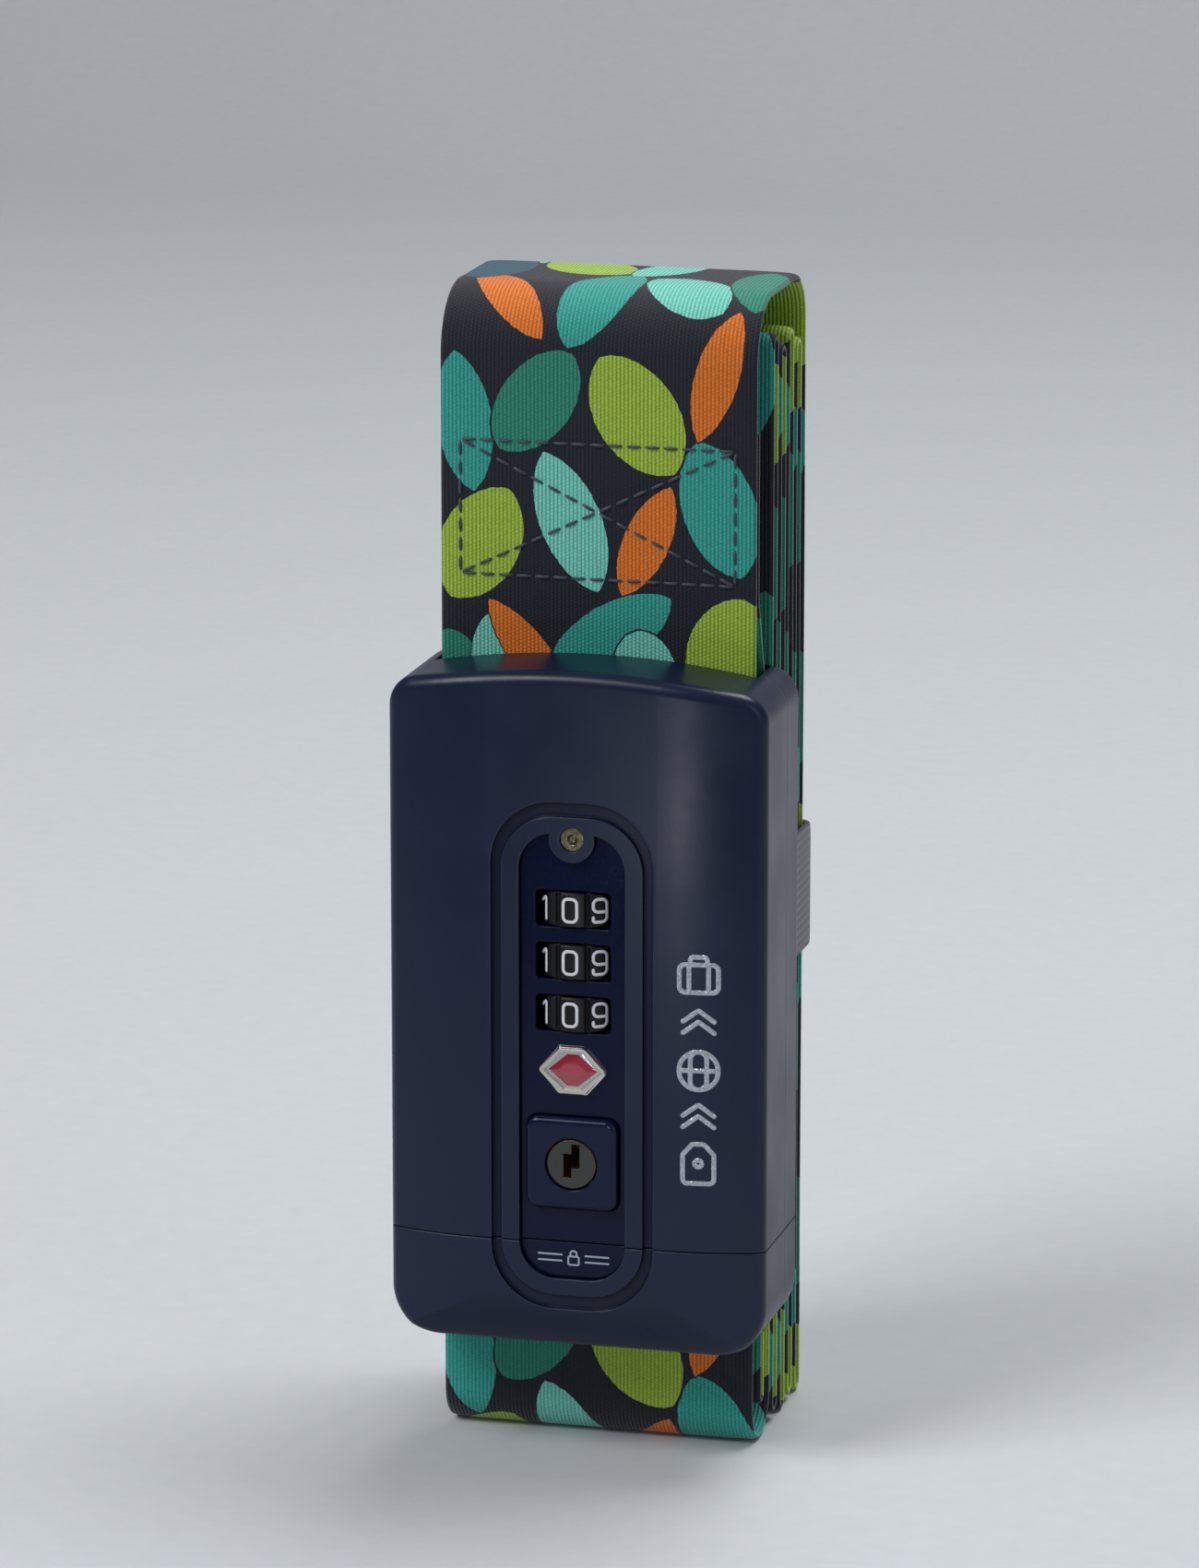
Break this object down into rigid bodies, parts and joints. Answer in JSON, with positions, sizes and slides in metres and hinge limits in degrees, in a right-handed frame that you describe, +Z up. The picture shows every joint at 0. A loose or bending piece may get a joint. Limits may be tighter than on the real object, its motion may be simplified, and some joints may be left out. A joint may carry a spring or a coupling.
{
  "type": "luggage strap",
  "caption": "Folded luggage strap: patterned flat webbing hank with a combination-dial buckle, release button with key cylinder, and an elastic keeper.",
  "frame": {"origin": "centre of the bounding box's base: the floor that the folds stand on", "axes": "+Z up along the buckle and the folds, +X across the webbing to the right, -Y out of the buckle's face"},
  "size_m": [0.06, 0.0508, 0.183],
  "materials": {
    "navy_shell": "satin moulded ABS",
    "gloss_panel": "gloss moulded",
    "gloss_button": "gloss moulded",
    "dial_black": "satin",
    "zinc": "die cast",
    "steel": "zinc plated",
    "spring_steel": "bright",
    "brass": "turned",
    "nickel": "nickel plated",
    "silver_trim": "bright",
    "red_gem": "clear gloss",
    "printed_webbing": "printed woven polyester",
    "elastic": "woven elastic"
  },
  "bodies": {
    "strap": {"webbing_hank": "printed_webbing", "webbing_lower": "printed_webbing", "keeper_band": "elastic", "tongue": "steel", "lower_front_cover": "navy_shell", "lower_back_cover": "navy_shell", "lower_panel": "gloss_panel", "lower_screws": "steel", "adjuster_bar": "steel"},
    "buckle_body": {"front_cover": "navy_shell", "back_cover": "navy_shell", "dial_plate": "gloss_panel", "chassis": "zinc", "chassis_screws": "steel", "housing_screws": "steel", "webbing_bar": "steel", "webbing_upper": "printed_webbing", "badge_frame": "silver_trim", "badge_gem": "red_gem", "detent_spring": "spring_steel", "spindle_spring": "spring_steel", "button_spring": "spring_steel", "spring_catch": "spring_steel", "catch_screw": "steel"},
    "dial_1": {"wheel_1": "dial_black"},
    "dial_2": {"wheel_2": "dial_black"},
    "dial_3": {"wheel_3": "dial_black"},
    "spindle": {"spindle": "steel", "spindle_clip": "spring_steel"},
    "sleeve_1": {"sleeve_1": "brass"},
    "sleeve_2": {"sleeve_2": "brass"},
    "sleeve_3": {"sleeve_3": "brass"},
    "reset_button": {"reset_button": "nickel"},
    "release_button": {"release_button": "gloss_button", "key_barrel": "brass", "locking_comb": "steel"},
    "key_plug": {"key_plug": "nickel", "wafers": "brass", "plug_clip": "spring_steel", "key_cam": "steel"}
  },
  "joints": [
    {"name": "buckle_release", "type": "slide", "parent": "strap", "child": "buckle_body", "axis": [0, 0, 1], "range_m": [0, 0.026], "deforming": ["webbing_upper", "spring_catch"]},
    {"name": "dial_1_spin", "type": "hinge", "parent": "buckle_body", "child": "dial_1", "pos_m": [0, -0.0171, 0.0897], "axis": [0, 0, 1], "continuous": true},
    {"name": "dial_2_spin", "type": "hinge", "parent": "buckle_body", "child": "dial_2", "pos_m": [0, -0.0171, 0.0814], "axis": [0, 0, 1], "continuous": true},
    {"name": "dial_3_spin", "type": "hinge", "parent": "buckle_body", "child": "dial_3", "pos_m": [0, -0.0171, 0.0731], "axis": [0, 0, 1], "continuous": true},
    {"name": "reset_press", "type": "slide", "parent": "buckle_body", "child": "reset_button", "axis": [0, 1, 0], "range_m": [0, 0.0015], "stiffness_N_per_m": 400, "springref_m": -0.002},
    {"name": "spindle_shift", "type": "slide", "parent": "buckle_body", "child": "spindle", "axis": [0, 0, -1], "range_m": [0, 0.0015], "deforming": ["spindle_spring"]},
    {"name": "sleeve_1_turn", "type": "hinge", "parent": "spindle", "child": "sleeve_1", "pos_m": [0, -0.0171, 0.0897], "axis": [0, 0, 1], "continuous": true},
    {"name": "sleeve_2_turn", "type": "hinge", "parent": "spindle", "child": "sleeve_2", "pos_m": [0, -0.0171, 0.0814], "axis": [0, 0, 1], "continuous": true},
    {"name": "sleeve_3_turn", "type": "hinge", "parent": "spindle", "child": "sleeve_3", "pos_m": [0, -0.0171, 0.0731], "axis": [0, 0, 1], "continuous": true},
    {"name": "release_press", "type": "slide", "parent": "buckle_body", "child": "release_button", "axis": [0, 1, 0], "range_m": [0, 0.0022], "stiffness_N_per_m": 1500, "springref_m": -0.001, "deforming": ["spring_catch", "button_spring"]},
    {"name": "key_turn", "type": "hinge", "parent": "release_button", "child": "key_plug", "pos_m": [0, -0.0249, 0.0494], "axis": [0, 1, 0], "range_deg": [0, 90]}
  ],
  "couplings": [
    {"joint": "spindle_shift", "follows": "reset_press", "ratio": 1},
    {"joint": "sleeve_1_turn", "follows": "dial_1_spin", "ratio": 1},
    {"joint": "sleeve_2_turn", "follows": "dial_2_spin", "ratio": 1},
    {"joint": "sleeve_3_turn", "follows": "dial_3_spin", "ratio": 1}
  ]
}
